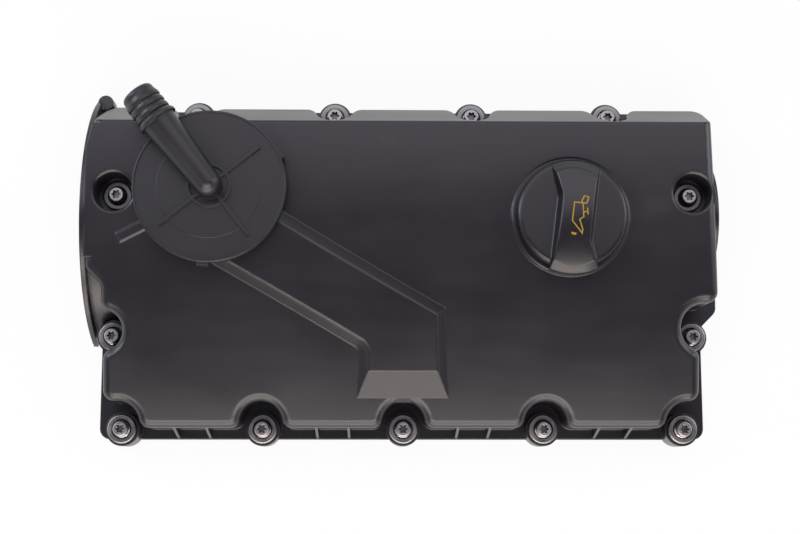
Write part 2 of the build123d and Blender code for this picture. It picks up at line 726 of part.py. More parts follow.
# ================================================================ bolt stack
def bolt(x, y, lift):
    """Flange-head bolt with a six-lobe socket, its head down on the cup."""
    seat = BOSS_TOP + GROMMET_LIP_T + CUP_FLOOR + lift
    top = seat + BOLT_FLANGE_T + BOLT_HEAD_T
    body = post(0, 0, BOLT_SHANK_R, seat - BOLT_LENGTH, seat)
    body = chamfer(body.edges().group_by(Axis.Z)[0], BOLT_TIP_CHAMFER)
    rim = post(0, 0, BOLT_FLANGE_R, seat, seat + BOLT_FLANGE_T)
    body += chamfer(rim.edges().group_by(Axis.Z)[-1], BOLT_FLANGE_T / 2)
    head = post(0, 0, BOLT_HEAD_R, seat, top)
    body += chamfer(head.edges().group_by(Axis.Z)[-1], BOLT_HEAD_CHAMFER)
    lobes = Circle(SOCKET_R * SOCKET_CORE)
    for turn in range(6):
        lobe = Pos(SOCKET_R * (1 - SOCKET_LOBE), 0) * Circle(SOCKET_R * SOCKET_LOBE)
        lobes += Rot(0, 0, 60 * turn) * lobe
    body -= Pos(0, 0, top - SOCKET_DEPTH) * extrude(lobes, SOCKET_DEPTH + 1)
    return Pos(x, y, 0) * body


def cup_sleeve(x, y, lift):
    """Pressed steel sleeve whose top is a cup round the bolt head."""
    low = BOSS_TOP + GROMMET_LIP_T
    body = post(0, 0, CUP_R, low, low + CUP_HEIGHT)
    body = fillet(body.edges().group_by(Axis.Z)[-1], CUP_EDGE_R)
    body += post(0, 0, SLEEVE_R, 0, low)
    body -= post(0, 0, CUP_RECESS_R, low + CUP_FLOOR, low + CUP_HEIGHT + 1)
    body -= post(0, 0, SLEEVE_BORE_R, -1, low + CUP_HEIGHT)
    return Pos(x, y, lift) * body


def grommet(x, y, lift):
    """Rubber bush between the sleeve and its boss, with a lip under the cup."""
    body = post(0, 0, BOSS_BORE_R - GROMMET_CLEAR, GROMMET_FOOT, BOSS_TOP)
    body += post(0, 0, GROMMET_LIP_R, BOSS_TOP, BOSS_TOP + GROMMET_LIP_T)
    body -= post(0, 0, SLEEVE_R + GROMMET_CLEAR, 0, BOSS_TOP + 2)
    return Pos(x, y, lift) * body


def hardware_sites():
    """Every bolt position with the height of its seat over the usual one."""
    sites = {row: [(x, y, 0) for x, y in places] for row, places in bolt_places().items()}
    lift = WELL_SEAT - BOSS_TOP
    sites["left_end"].append((-WELL_X, WELL_Y, lift))
    sites["right_end"].append((WELL_X, WELL_Y, lift))
    return sites


# ================================================================ breather
def nozzle_profile():
    """Half section of the hose nozzle along its own axis, without the bore."""
    points = [(0, 0), (0, ELBOW_R), (TUBE_LENGTH, TUBE_END_R), (TUBE_LENGTH, COLLAR_R)]
    points += [(TUBE_LENGTH + COLLAR_T, COLLAR_R), (BARB_START, BARB_ROOT_R)]
    for i in range(BARB_COUNT):
        x = BARB_START + BARB_PITCH * i
        points += [(x, BARB_R), (x + BARB_LAND, BARB_R), (x + BARB_PITCH, BARB_ROOT_R)]
    points += [(NOZZLE_LENGTH, NOSE_R), (NOZZLE_LENGTH, 0)]
    section = Polygon(*points, align=None)
    nose = [v for v in section.vertices() if v.X > NOZZLE_LENGTH - NOSE_RUN / 2 and v.Y > NOSE_R / 2]
    return fillet(nose, NOSE_ROUND)


def to_nozzle(shape):
    """Move a shape drawn along +X from the origin onto the nozzle axis."""
    return Pos(LID_X, LID_Y, NOZZLE_AXIS_Z) * Rot(0, 0, NOZZLE_ANGLE) * Rot(0, -NOZZLE_RISE, 0) * shape


def radial_bar(angle, r_low, r_high, width, z_low, z_high):
    """A straight bar along a radius of the breather lid."""
    align = (Align.MIN, Align.CENTER, Align.MIN)
    bar = Pos(r_low, 0, 0) * Box(r_high - r_low, width, z_high - z_low, align=align)
    return Pos(LID_X, LID_Y, z_low) * Rot(0, 0, angle) * bar


def lid_disc():
    """The lid's disc with its skirt, rim, step, hub ring, ribs and clips."""
    skirt_bottom = LID_TOP - LID_SKIRT_H
    lid = post(LID_X, LID_Y, LID_R, skirt_bottom, LID_TOP + LID_LIP_H)
    lid = fillet(lid.edges().group_by(Axis.Z)[-1], LID_LIP_H)
    lid -= post(LID_X, LID_Y, LID_R - LID_LIP_W, LID_TOP, LID_TOP + 1)
    lid -= post(LID_X, LID_Y, LID_R - LID_SKIRT_T, skirt_bottom - 1, DRUM_TOP)
    lid += post(LID_X, LID_Y, LID_STEP_R, LID_TOP - LID_T / 2, LID_TOP + LID_STEP_H)
    hub = post(LID_X, LID_Y, HUB_RING_R, LID_TOP, LID_TOP + HUB_RING_H)
    lid += hub - post(LID_X, LID_Y, HUB_RING_R - HUB_RING_W, LID_TOP, LID_TOP + HUB_RING_H)
    for turn in (-90, 90, 180):
        lid += radial_bar(NOZZLE_ANGLE + turn, 0, LID_RIB_REACH, LID_RIB_W, LID_TOP, LID_TOP + LID_RIB_H)
    lid += radial_bar(NOZZLE_ANGLE, 0, LID_RIB_REACH, LID_RIB_W, LID_TOP, NOZZLE_AXIS_Z)
    clip_top = LID_TOP - CLIP_DROP
    for angle in CLIP_ANGLES:
        lid += radial_bar(angle, LID_R - CLIP_T, LID_R + CLIP_T, CLIP_W, clip_top - CLIP_H, clip_top)
    return lid


def breather_lid():
    """Snap-on lid of the pressure valve with its elbow and hose nozzle."""
    lid = lid_disc()
    ring_out = POCKET_R + LEDGE_W - BEAD_FIT
    ring = post(LID_X, LID_Y, ring_out, CLAMP_Z, DRUM_TOP)
    ring -= post(LID_X, LID_Y, ring_out - CLAMP_W, CLAMP_Z, DRUM_TOP)
    lid += ring - window_bar(WINDOW_DEPTH, WINDOW_REACH, CLAMP_Z + 1, DRUM_TOP - 1)
    lid += post(LID_X, LID_Y, PORT_R, PORT_BOTTOM, DRUM_TOP)
    lid += post(LID_X, LID_Y, ELBOW_R, LID_TOP, NOZZLE_AXIS_Z)
    lid += Pos(LID_X, LID_Y, NOZZLE_AXIS_Z) * Sphere(ELBOW_R)
    lid += to_nozzle(revolve(nozzle_profile(), Axis.X))
    bore = Cylinder(NOZZLE_BORE_R, NOZZLE_LENGTH + 1, align=(Align.CENTER, Align.CENTER, Align.MIN))
    lid -= to_nozzle(Rot(0, 90, 0) * bore)
    lid -= post(LID_X, LID_Y, NOZZLE_BORE_R, PORT_BOTTOM - 1, NOZZLE_AXIS_Z)
    lid -= Pos(LID_X, LID_Y, NOZZLE_AXIS_Z) * Sphere(NOZZLE_BORE_R)
    return lid


def breather_diaphragm():
    """Rubber rolling diaphragm with its clamped bead and one soft fold."""
    high = PLATE_TOP - PLATE_T
    low = high - DIAPHRAGM_T
    bead_out = POCKET_R + LEDGE_W - BEAD_FIT
    bead_in = bead_out - BEAD_W
    flat = Polygon((0, low), (bead_in, low), (bead_in, high), (0, high), align=None)
    bead = Polygon((bead_in, LEDGE_Z), (bead_out, LEDGE_Z), (bead_out, CLAMP_Z), (bead_in, CLAMP_Z),
                   align=None)
    below = Pos(FOLD_CENTRE_R, low) * Rectangle(3 * FOLD_R, 3 * FOLD_R, align=(Align.CENTER, Align.MAX))
    gap = Pos(FOLD_CENTRE_R, high) * Rectangle(2 * (FOLD_R - DIAPHRAGM_T), 3 * DIAPHRAGM_T)
    fold = Circle(FOLD_R) - Circle(FOLD_R - DIAPHRAGM_T)
    fold = (Pos(FOLD_CENTRE_R, low) * fold) & below
    section = (flat - gap) + bead + fold
    return Pos(LID_X, LID_Y, 0) * revolve(Plane.XZ * section, Axis.Z)


def diaphragm_plate():
    """Stiff plate on top of the diaphragm that throttles the outlet port."""
    plate = post(LID_X, LID_Y, PLATE_R, PLATE_TOP - PLATE_T, PLATE_TOP)
    return fillet(plate.edges().group_by(Axis.Z)[-1], PLATE_EDGE_R)


def breather_spring():
    """Coil spring between the lid and the diaphragm plate."""
    low = PLATE_TOP + SPRING_WIRE / 2
    high = DRUM_TOP - SPRING_WIRE / 2
    path = Helix(pitch=(high - low) / SPRING_TURNS, height=high - low, radius=SPRING_R)
    start = Plane(origin=path @ 0, z_dir=path % 0)
    coil = sweep(start * Circle(SPRING_WIRE / 2), path=path)
    return Pos(LID_X, LID_Y, low) * coil


def oil_baffle():
    """Flat separator plate that closes the duct from below, with drain slots."""
    plate = extrude(duct_plan(CHANNEL_RIB_T), BAFFLE_T)
    first_y = (DUCT_PAD_FRONT + DUCT_KNEE_Y) / 2 - DRAIN_PITCH * (DRAIN_COUNT - 1) / 2
    for i in range(DRAIN_COUNT):
        plate -= Pos(0, first_y + DRAIN_PITCH * i, 0) * Box(*DRAIN_SLOT, 3 * BAFFLE_T)
    plate = tilt_to_duct(plate, -BAFFLE_DROP - BAFFLE_T)
    plate &= body_solid(WALL + BAFFLE_CLEAR)
    return plate - post(LID_X, LID_Y, DRUM_R + BAFFLE_CLEAR, 0, LID_TOP)


# ================================================================ filler cap
def bar_plan(grow):
    """Plan of the grip bar: narrow by two opposite knees, wide at its ends."""
    far = 1.5 * CAP_R
    knee_x, knee_y = BAR_KNEE
    short_x = knee_x + (far - knee_y) * BAR_SHORT_FLARE
    long_x = knee_x + (far + knee_y) * BAR_LONG_FLARE
    half = [(-short_x, far), (-knee_x, knee_y), (-long_x, -far)]
    plan = Polygon(*half, *[(-x, -y) for x, y in half], align=None)
    knees = [v for v in plan.vertices() if abs(v.Y) < far / 2]
    plan = offset(fillet(knees, BAR_KNEE_R), grow, kind=Kind.INTERSECTION)
    return Pos(*BAR_CENTRE) * plan


def half_disc(radius, side, height, lean):
    """Half of a disc on one side in Y, its rim leaning inwards as it rises."""
    top = radius - height * math.tan(math.radians(lean))
    align = (Align.CENTER, Align.CENTER, Align.MIN)
    disc = Cone(radius, top, height, align=align) if lean else Cylinder(radius, height, align=align)
    y_align = Align.MIN if side > 0 else Align.MAX
    return disc & Box(4 * radius, 2 * radius, 2 * height, align=(Align.CENTER, y_align, Align.CENTER))


def cap_bar():
    """The arched grip bar with its drafted sides, and the nose below it."""
    height = BAR_RISE + 1
    foot = bar_plan(BAR_RISE * math.tan(math.radians(BAR_DRAFT)))
    bar = extrude(foot, height, taper=BAR_DRAFT)
    ends = half_disc(CAP_R - BAR_REAR_INSET, 1, height, BAR_END_LEAN)
    bar &= ends + half_disc(BAR_NOSE, -1, height, BAR_END_LEAN)
    arch_r = (CAP_R ** 2 + BAR_END_DROP ** 2) / (2 * BAR_END_DROP)
    bar &= Pos(0, 0, BAR_RISE - arch_r) * Rot(0, 90, 0) * Cylinder(arch_r, 4 * CAP_R)
    top = [edge for edge in bar.edges() if edge.bounding_box().min.Z > CAP_EDGE_R / 4]
    bar = fillet(top, BAR_EDGE_R)
    nose = extrude(foot, CAP_DEPTH) & half_disc(BAR_NOSE, -1, CAP_DEPTH, 0)
    return (Pos(0, 0, CAP_TOP) * bar) + (Pos(0, 0, CAP_BOTTOM) * nose)


def filler_cap():
    """Quarter-turn filler cap: disc, grip bar, hollow plug and two lugs."""
    cap = post(0, 0, CAP_R, CAP_BOTTOM, CAP_TOP)
    cap = fillet(cap.edges().group_by(Axis.Z)[-1], CAP_EDGE_R)
    cap += cap_bar()
    cap += post(0, 0, PLUG_R, PLUG_BOTTOM, CAP_BOTTOM)
    lug_top = NECK_LIP_BOTTOM - LUG_GAP
    for turn in (0, 180):
        cap += Pos(0, 0, lug_top - LUG_T) * Rot(0, 0, turn) * lug_sector(LUG_R, LUG_HALF_ANGLE, LUG_T)
    cap -= post(0, 0, PLUG_R - PLUG_WALL, PLUG_BOTTOM - 1, CAP_BOTTOM + 2)
    return Pos(CAP_X, CAP_Y, 0) * cap


def cap_seal():
    """Flat rubber ring between the neck and the cap."""
    ring = post(CAP_X, CAP_Y, SEAL_OUTER_R, NECK_TOP, CAP_BOTTOM)
    return ring - post(CAP_X, CAP_Y, SEAL_INNER_R, NECK_TOP, CAP_BOTTOM)


# ================================================================ output
def build_parts():
    """All pieces of the cover by node name."""
    parts = {
        "cover_shell": cover_shell(),
        "cover_gasket": cover_gasket(),
        "oil_baffle": oil_baffle(),
        "breather_lid": breather_lid(),
        "breather_diaphragm": breather_diaphragm(),
        "diaphragm_plate": diaphragm_plate(),
        "breather_spring": breather_spring(),
        "filler_cap": filler_cap(),
        "cap_seal": cap_seal(),
    }
    for row, sites in hardware_sites().items():
        for name, make in (("bolts", bolt), ("cup_sleeves", cup_sleeve), ("grommets", grommet)):
            parts[f"{row}_{name}"] = Compound(children=[make(*site) for site in sites])
    return parts


os.makedirs("parts", exist_ok=True)
for node, shape in build_parts().items():
    export_step(shape, f"parts/{node}.step")
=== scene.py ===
"""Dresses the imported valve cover: camera, studio, materials and the small pieces that the solids leave out.

Everything is in metres, in the frame of the solids: +X along the engine, +Y to the sloped rear edge, +Z up.
"""
import math

import bpy
from mathutils import Euler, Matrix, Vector


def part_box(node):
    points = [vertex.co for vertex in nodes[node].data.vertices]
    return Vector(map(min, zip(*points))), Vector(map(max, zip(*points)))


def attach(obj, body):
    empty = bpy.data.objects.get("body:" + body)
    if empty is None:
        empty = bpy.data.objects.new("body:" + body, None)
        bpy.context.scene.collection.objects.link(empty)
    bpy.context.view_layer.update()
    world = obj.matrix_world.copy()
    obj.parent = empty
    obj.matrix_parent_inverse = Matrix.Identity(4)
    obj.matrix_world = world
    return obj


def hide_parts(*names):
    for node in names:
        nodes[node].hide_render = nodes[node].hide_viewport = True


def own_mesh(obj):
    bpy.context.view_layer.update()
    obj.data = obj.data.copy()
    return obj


MM = 0.001

# camera, as solved from the bolt pattern
CAMERA_PLACE = (-0.01616, -0.12466, 0.8869)
CAMERA_TILT_DEG = 8.2
CAMERA_YAW_DEG = -0.935
CAMERA_ROLL_DEG = 0.149
CAMERA_LENS_MM = 61.56
CAMERA_SENSOR_MM = 36
CAMERA_NEAR = 0.01

# room round the table: colour of the walls and of the ceiling, and where one passes into the other
ROOM_WALL = (0.92, 0.90, 0.90)
ROOM_CEILING = (0.13, 0.12, 0.17)
ROOM_WALL_TOP = 0.05
ROOM_CEILING_EDGE = 0.60

# soft boxes: name, place, point aimed at, size, energy, colour
SOFT_BOXES = (
    ("rear_cool", (0.05, 0.62, 0.99), (0.05, 0.05, 0.05), (1.5, 0.90), 6.2, (0.95, 0.91, 1.0)),
    ("front_warm", (-0.02, -0.84, 1.05), (-0.02, -0.08, 0.03), (1.5, 0.50), 12.5, (1.0, 0.93, 0.88)),
    ("front_low", (-0.02, -1.24, 0.38), (-0.02, -0.1, 0.03), (1.5, 0.74), 12.5, (1.0, 0.88, 0.82)),
    ("right_side", (1.10, 0.35, 0.60), (0.05, 0.0, 0.04), (0.5, 0.8), 3.5, (0.97, 0.96, 1.0)),
    ("left_side", (-1.05, 0.45, 0.72), (-0.05, 0, 0.04), (0.5, 0.8), 6.5, (0.82, 0.85, 1.0)),
)

# white table, a hair under the gasket plane
TABLE_REACH = 3.0
TABLE_DROP = 0.05 * MM
TABLE_WHITE_SHARE = 0.9

# bolt places, and how far the bolts in the wells stand above the others
BOLT_PITCH = 88 * MM
FRONT_BOLTS = 5
FRONT_ROW_Y = -103 * MM
REAR_BOLTS = 4
REAR_ROW_Y = 97 * MM
END_BOLT = (183 * MM, -44.9 * MM)
WELL = (179 * MM, 41.5 * MM)
WELL_LIFT = 19 * MM

# bolt threads
THREAD_R = 2.95 * MM
THREAD_CREST_R = 3.22 * MM
THREAD_PITCH = 1.0 * MM
THREAD_HALF_WIDTH = 0.36 * THREAD_PITCH
THREAD_LOW = 0.7 * MM
THREAD_HIGH = 15.7 * MM
THREAD_STEPS = 20

# cone between a bolt's head and its flange: (radius, height over the flange) from the head out to the rim
HEAD_T = 5.8 * MM
FLANGE_CONE = ((4.62 * MM, 1.3 * MM), (5.0 * MM, 0.75 * MM), (5.45 * MM, 0.3 * MM), (5.58 * MM, -0.6 * MM))
FLANGE_SIDES = 40

# coil spring of the breather valve
SPRING_CENTRE = (-118.5 * MM, 42.3 * MM)
SPRING_LOW = 57.962 * MM
SPRING_HIGH = 69.462 * MM
SPRING_R = 12.5 * MM
SPRING_WIRE_R = 0.6 * MM
SPRING_TURNS = 3.5
SPRING_STEPS = 40
WIRE_SIDES = 10

# filler cap, and the mark printed on its bar
CAP_CENTRE = (102.8 * MM, 26.6 * MM)
CAP_R = 34 * MM
BAR_TOP = 77.003 * MM
BAR_END_DROP = 6 * MM
MARK_T = 0.12 * MM
MARK_SINK = 0.02 * MM
MARK_STROKE = 0.75 * MM
MARK_STEP = 1.2 * MM
MARK_MITRE_LIMIT = 0.5
MARK_CENTRE = (2.0 * MM, -3.0 * MM)
MARK_TURN_DEG = -90.0

# edges painted lighter, partly as wear and partly as painted highlight: the cosine between the soft and the true
# normal on a sharp edge and on a flat face
EDGE_SAMPLES = 6
EDGE_SHARP = 0.90
EDGE_FLAT = 0.995

# noise on the surfaces, per metre, with the stretch of the flow marks
PLASTIC_PATCHES = 22
PLASTIC_CLOUDS = 90
FLOW_STREAKS = 60
FLOW_STRETCH = (0.25, 1.4, 1.0)
METAL_CLOUDS = 160
METAL_SCRATCHES = 2600
RUBBER_DUST = 120
INK_PINHOLES = 900
INK_GLOSS = 400
TABLE_PATCHES = 6

# depth of the surface relief
GRAIN_DEPTH = 0.05 * MM
SCRATCH_DEPTH = 0.01 * MM
INK_DEPTH = 0.02 * MM
TABLE_DEPTH = 0.1 * MM


# ================================================================ colours
def linear(red, green, blue):
    """A display colour, 0 to 255, as linear light by the sRGB curve."""
    def channel(value):
        share = value / 255
        return share / 12.92 if value <= 10 else ((share + 0.055) / 1.055) ** 2.4

    return tuple(channel(value) for value in (red, green, blue))


def scaled(colour, factor):
    """A colour made lighter or darker."""
    return tuple(min(1.0, c * factor) for c in colour)


SHELL_BLACK = linear(26, 24, 28)
LID_BLACK = linear(17, 16, 20)
CAP_BLACK = linear(18, 17, 20)
BAFFLE_BLACK = scaled(SHELL_BLACK, 1.25)
PLATE_CREAM = linear(196, 193, 182)
BOLT_GREY = linear(168, 168, 172)
# a lighter copy of the bolt metal: a painted highlight on the flange cones
FLANGE_HIGHLIGHT_GREY = linear(205, 204, 206)
CUP_GREY = linear(160, 159, 162)
SPRING_GREY = linear(180, 180, 182)
SEAL_BLACK = linear(40, 40, 41)
BUSH_BLACK = linear(32, 32, 33)
DIAPHRAGM_BLACK = linear(44, 44, 50)
INK_YELLOW = linear(148, 120, 20)
TABLE_SHADE = (0.80, 0.80, 0.81)
TABLE_LIGHT = (0.84, 0.84, 0.84)
WHITE = (1, 1, 1, 1)


# ================================================================ shader helpers
class Shader:
    """One material's node tree, with short calls for the nodes that are used here."""

    def __init__(self, name):
        self.material = bpy.data.materials.new(name)
        self.material.use_nodes = True
        self.tree = self.material.node_tree
        self.tree.nodes.clear()
        self.surface = self.add("ShaderNodeBsdfPrincipled")
        self.out = self.add("ShaderNodeOutputMaterial")
        self.tree.links.new(self.surface.outputs["BSDF"], self.out.inputs["Surface"])
        self.place = self.add("ShaderNodeTexCoord").outputs["Object"]

    def add(self, kind, values=(), **links):
        """A node with numbers set on its sockets and sockets linked by name."""
        node = self.tree.nodes.new(kind)
        for key, value in dict(values).items():
            node.inputs[key].default_value = value
        for key, source in links.items():
            self.tree.links.new(source, node.inputs[key.replace("_", " ")])
        return node

    def noise(self, scale, detail=2, stretch=None):
        """Noise of the given frequency per metre, drawn out along an axis by stretch."""
        place = self.place
        if stretch:
            place = self.add("ShaderNodeMapping", {"Scale": stretch}, Vector=place).outputs["Vector"]
        node = self.add("ShaderNodeTexNoise", {"Scale": scale, "Detail": detail}, Vector=place)
        return node.outputs["Fac"]

    def spread(self, value, low, high, from_low=0.3, from_high=0.7):
        """A value moved from one range to another: noise mostly lies between 0.3 and 0.7."""
        numbers = {"From Min": from_low, "From Max": from_high, "To Min": low, "To Max": high}
        return self.add("ShaderNodeMapRange", numbers, Value=value).outputs["Result"]

    def math(self, operation, first, second):
        """Two values, or a value and a number, put through one operation."""
        node = self.add("ShaderNodeMath")
        node.operation = operation
        self.tree.links.new(first, node.inputs[0])
        if isinstance(second, float):
            node.inputs[1].default_value = second
        else:
            self.tree.links.new(second, node.inputs[1])
        return node.outputs["Value"]

    def plus(self, value, extra, share):
        """A value with a share of another added to it, or taken off where the share is below 0."""
        return self.math("ADD", value, self.math("MULTIPLY", extra, share))

    def blend(self, first, second, share):
        """Two values mixed, with the given share of the first."""
        return self.plus(self.math("MULTIPLY", first, share), second, 1 - share)

    def ramp(self, value, *stops):
        """Colours picked by a value: each stop is (position, linear colour)."""
        node = self.add("ShaderNodeValToRGB", Fac=value)
        elements = node.color_ramp.elements
        for element, (position, colour) in zip(elements, (stops[0], stops[-1])):
            element.position = position
            element.color = (*colour, 1)
        for position, colour in stops[1:-1]:
            elements.new(position).color = (*colour, 1)
        return node.outputs["Color"]

    def edge(self, radius):
        """(soft edge normal, mask that is 1 on edges tighter than the radius)."""
        soft = self.add("ShaderNodeBevel", {"Radius": radius})
        soft.samples = EDGE_SAMPLES
        normal = soft.outputs["Normal"]
        turn = self.add("ShaderNodeVectorMath")
        turn.operation = "DOT_PRODUCT"
        self.tree.links.new(normal, turn.inputs[0])
        self.tree.links.new(self.add("ShaderNodeNewGeometry").outputs["Normal"], turn.inputs[1])
        return normal, self.spread(turn.outputs["Value"], 1.0, 0.0, EDGE_SHARP, EDGE_FLAT)

    def bump(self, height, strength, distance, normal=None):
        """A bump normal from a height."""
        node = self.add("ShaderNodeBump", {"Strength": strength, "Distance": distance}, Height=height)
        if normal:
            self.tree.links.new(normal, node.inputs["Normal"])
        return node.outputs["Normal"]

    def finish(self, colour, roughness, normal, values=()):
        """Link the last sockets and give back the material."""
        links = self.tree.links
        links.new(colour, self.surface.inputs["Base Color"])
        links.new(roughness, self.surface.inputs["Roughness"])
        links.new(normal, self.surface.inputs["Normal"])
        for key, value in dict(values).items():
            self.surface.inputs[key].default_value = value
        return self.material


# ================================================================ materials
# rough is the (low, high) roughness, and edge_mm the width of the edges that are softened and painted lighter,
# partly as wear and partly as painted highlight
def moulded_plastic(name, colour, rough, grain_mm, grain_depth=0.5, edge_mm=0.5, edge_wear_and_highlight=2.0, flow=True):
    """Glass-filled nylon with a spark-eroded grain, faint flow marks, and edges painted lighter, partly as wear and
    partly as painted highlight.
    """
    s = Shader(name)
    soft, worn_lit_edges = s.edge(edge_mm * MM)
    patches = s.noise(PLASTIC_PATCHES, detail=4)
    if flow:
        marks = s.noise(FLOW_STREAKS, detail=3, stretch=FLOW_STRETCH)
    else:
        marks = s.noise(PLASTIC_CLOUDS)
    tone = s.blend(patches, marks, 0.6)
    # edges painted lighter by the edge mask: partly wear, partly painted highlight
    tone_with_worn_lit_edges = s.plus(tone, worn_lit_edges, 0.35)
    base = s.ramp(tone_with_worn_lit_edges, (0.3, scaled(colour, 0.82)), (0.62, scaled(colour, 1.1)), (1.0, scaled(colour, edge_wear_and_highlight)))
    roughness = s.plus(s.spread(tone, *rough), worn_lit_edges, -0.08)
    grain = s.noise(1 / (grain_mm * MM), detail=3)
    specks = s.noise(1 / (grain_mm * 4 * MM))
    normal = s.bump(s.plus(grain, specks, 0.5), grain_depth, GRAIN_DEPTH, soft)
    return s.finish(base, roughness, normal, {"Specular IOR Level": 0.6})


def plated_metal(name, colour, rough, scratch=(1.0, 1.0, 1.0), edge_mm=0.25, recess_shade_mm=0.0):
    """Zinc-plated or drawn steel: fine scratches, cloudy passivation, edges painted brighter partly as wear and
    partly as painted highlight, and painted shade in recesses.
    """
    s = Shader(name)
    soft, worn_lit_edges = s.edge(edge_mm * MM)
    clouds = s.noise(METAL_CLOUDS, detail=4)
    scratches = s.noise(METAL_SCRATCHES, stretch=scratch)
    tone = s.blend(clouds, scratches, 0.85)
    red, green, blue = colour
    warm = (red * 1.04, green * 0.99, blue * 0.88)
    cool = (red * 0.94, green, min(1.0, blue * 1.05))
    # edges painted brighter by the edge mask: partly wear, partly painted highlight
    tone_with_worn_lit_edges = s.plus(tone, worn_lit_edges, 0.3)
    base = s.ramp(tone_with_worn_lit_edges, (0.3, scaled(cool, 0.75)), (0.6, warm), (1.0, scaled(colour, 1.2)))
    # painted shade: ambient occlusion darkens the colour in recesses
    if recess_shade_mm:
        base = s.add("ShaderNodeAmbientOcclusion", {"Distance": recess_shade_mm * MM}, Color=base).outputs["Color"]
    roughness = s.plus(s.spread(tone, *rough), worn_lit_edges, -0.06)
    normal = s.bump(scratches, 0.18, SCRATCH_DEPTH, soft)
    return s.finish(base, roughness, normal, {"Metallic": 1.0})


def rubber(name, colour, rough=(0.55, 0.75), grain_mm=0.7, edge_mm=0.3):
    """Moulded rubber: dull, slightly dusty, with a fine orange peel."""
    s = Shader(name)
    soft, worn_lit_edges = s.edge(edge_mm * MM)
    dust = s.noise(RUBBER_DUST, detail=5)
    # edges painted lighter by the edge mask: partly dust and wear, partly painted highlight
    tone = s.plus(dust, worn_lit_edges, 0.25)
    base = s.ramp(tone, (0.3, scaled(colour, 0.8)), (0.65, scaled(colour, 1.2)), (1.0, scaled(colour, 2.4)))
    peel = s.noise(1 / (grain_mm * MM), detail=3)
    normal = s.bump(peel, 0.4, GRAIN_DEPTH, soft)
    return s.finish(base, s.spread(dust, *rough), normal, {"Specular IOR Level": 0.35})


def printed_ink(name, colour, rough=(0.35, 0.55)):
    """Pad-printed ink: a little uneven, with tiny pinholes."""
    s = Shader(name)
    cover = s.noise(INK_PINHOLES, detail=4)
    base = s.ramp(cover, (0.28, scaled(colour, 0.55)), (0.42, colour), (0.8, scaled(colour, 1.12)))
    roughness = s.spread(s.noise(INK_GLOSS), *rough)
    return s.finish(base, roughness, s.bump(cover, 0.3, INK_DEPTH))


def table_paint(name, rough=(0.30, 0.38)):
    """White paint, lit like the cover, and mostly plain white where the camera or a reflection sees it."""
    s = Shader(name)
    tone = s.noise(TABLE_PATCHES)
    base = s.ramp(tone, (0.3, TABLE_SHADE), (0.7, TABLE_LIGHT))
    material = s.finish(base, s.spread(tone, *rough), s.bump(tone, 0.05, TABLE_DEPTH))
    white = s.add("ShaderNodeEmission", {"Color": WHITE, "Strength": 1.0})
    ray = s.add("ShaderNodeLightPath").outputs
    mirrored = s.math("MAXIMUM", ray["Is Glossy Ray"], ray["Is Transmission Ray"])
    seen = s.math("MAXIMUM", ray["Is Camera Ray"], mirrored)
    mix = s.add("ShaderNodeMixShader", Fac=s.math("MULTIPLY", seen, TABLE_WHITE_SHARE))
    links = s.tree.links
    links.new(s.surface.outputs["BSDF"], mix.inputs[1])
    links.new(white.outputs["Emission"], mix.inputs[2])
    links.new(mix.outputs["Shader"], s.out.inputs["Surface"])
    return material


def dress(node_object, material):
    """Give a CAD node its material in every slot."""
    slots = node_object.material_slots
    if not slots:
        node_object.data.materials.append(material)
    for slot in slots:
        slot.material = material


# ================================================================ mesh helpers
def new_piece(name, verts, faces, material, body):
    """A mesh piece that rides on a body."""
    mesh = bpy.data.meshes.new(name)
    mesh.from_pydata(verts, [], faces)
    mesh.validate()
    mesh.update()
    mesh.materials.append(material)
    piece = bpy.data.objects.new(name, mesh)
    bpy.context.scene.collection.objects.link(piece)
    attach(piece, body)
    return piece


def smooth(piece, angle_deg):
    """Smooth shading, with the edges kept sharp that turn more than the angle."""
    piece.data.shade_smooth()
    piece.data.set_sharp_from_angle(angle=math.radians(angle_deg))


# ================================================================ bolts
def row_of_bolts(count, y):
    """(x, y, lift) of the bolts of a row that is centred on the engine's length."""
    return [(BOLT_PITCH * (i - (count - 1) / 2), y, 0.0) for i in range(count)]


def bolt_sites():
    """(x, y, lift) of every bolt."""
    sites = row_of_bolts(FRONT_BOLTS, FRONT_ROW_Y) + row_of_bolts(REAR_BOLTS, REAR_ROW_Y)
    for side in (-1, 1):
        sites.append((side * END_BOLT[0], END_BOLT[1], 0.0))
        sites.append((side * WELL[0], WELL[1], WELL_LIFT))
    return sites


def thread_ridge(x, y, lift, verts, faces):
    """One helical ridge round a bolt shank."""
    turns = (THREAD_HIGH - THREAD_LOW) / THREAD_PITCH
    profile = ((THREAD_R, -THREAD_HALF_WIDTH), (THREAD_CREST_R, 0.0), (THREAD_R, THREAD_HALF_WIDTH))
    for i in range(int(THREAD_STEPS * turns) + 1):
        angle = 2 * math.pi * i / THREAD_STEPS
        z = lift + THREAD_LOW + THREAD_PITCH * i / THREAD_STEPS
        start = len(verts)
        for radius, dz in profile:
            verts.append((x + radius * math.cos(angle), y + radius * math.sin(angle), z + dz))
        if i:
            for k in range(2):
                faces.append((start - 3 + k, start + k, start + k + 1, start - 2 + k))


def bolt_threads(material):
    """Rolled threads on all the bolts."""
    verts, faces = [], []
    for site in bolt_sites():
        thread_ridge(*site, verts, faces)
    smooth(new_piece("bolt_threads", verts, faces, material, "cover"), 50)


def flange_cones(material):
    """The forged cone that runs from each bolt head out to the rim of its flange."""
    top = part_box("front_bolts")[1][2] - HEAD_T
    verts, faces = [], []
    for x, y, lift in bolt_sites():
        for ring, (radius, rise) in enumerate(FLANGE_CONE):
            start = len(verts)
            for k in range(FLANGE_SIDES):
                angle = 2 * math.pi * k / FLANGE_SIDES
                verts.append((x + radius * math.cos(angle), y + radius * math.sin(angle), top + lift + rise))
            if ring:
                inner = start - FLANGE_SIDES
                for k in range(FLANGE_SIDES):
                    m = (k + 1) % FLANGE_SIDES
                    faces.append((inner + k, start + k, start + m, inner + m))
    smooth(new_piece("bolt_flange_cones", verts, faces, material, "cover"), 35)


